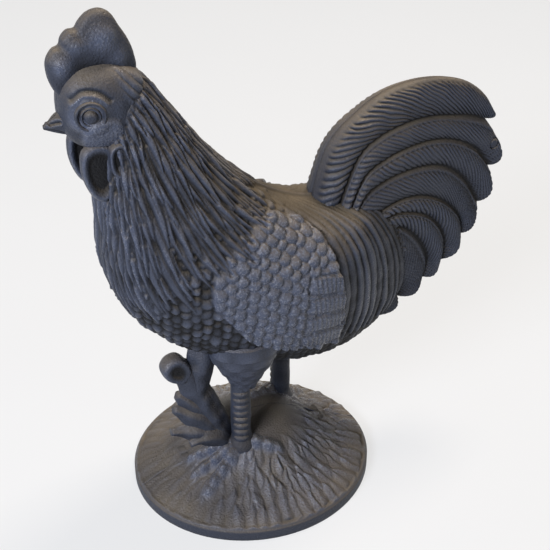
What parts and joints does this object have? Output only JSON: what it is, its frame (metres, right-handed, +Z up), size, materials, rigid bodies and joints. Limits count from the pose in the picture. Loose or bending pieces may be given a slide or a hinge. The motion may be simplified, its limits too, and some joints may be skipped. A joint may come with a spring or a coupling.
{
  "type": "rooster sculpture",
  "caption": "Cast-iron rooster on a grassy oval mound, with a lobed comb, fan tail and leafy prop, cast in two hollow halves held by screws, bolts and a rivet.",
  "frame": {"origin": "middle of the footprint box of the whole sculpture, on the surface it stands on", "axes": "+Z up, -X the way the bird faces, -Y towards its left side; the castings meet on the plane Y = 0"},
  "size_m": [0.2654, 0.134, 0.3004],
  "materials": {
    "painted_iron": "black semi-gloss paint over sand-cast iron, grainy, lightly worn on the high spots",
    "steel": "plain zinc-plated steel, dull"
  },
  "bodies": {
    "root": {"left_half_casting": "painted_iron", "right_half_casting": "painted_iron", "tail_rivet": "painted_iron", "body_screw_front": "steel", "body_screw_rear": "steel", "base_bolt_front": "steel", "base_washer_front": "steel", "base_nut_front": "steel", "base_bolt_rear": "steel", "base_washer_rear": "steel", "base_nut_rear": "steel"}
  },
  "joints": []
}
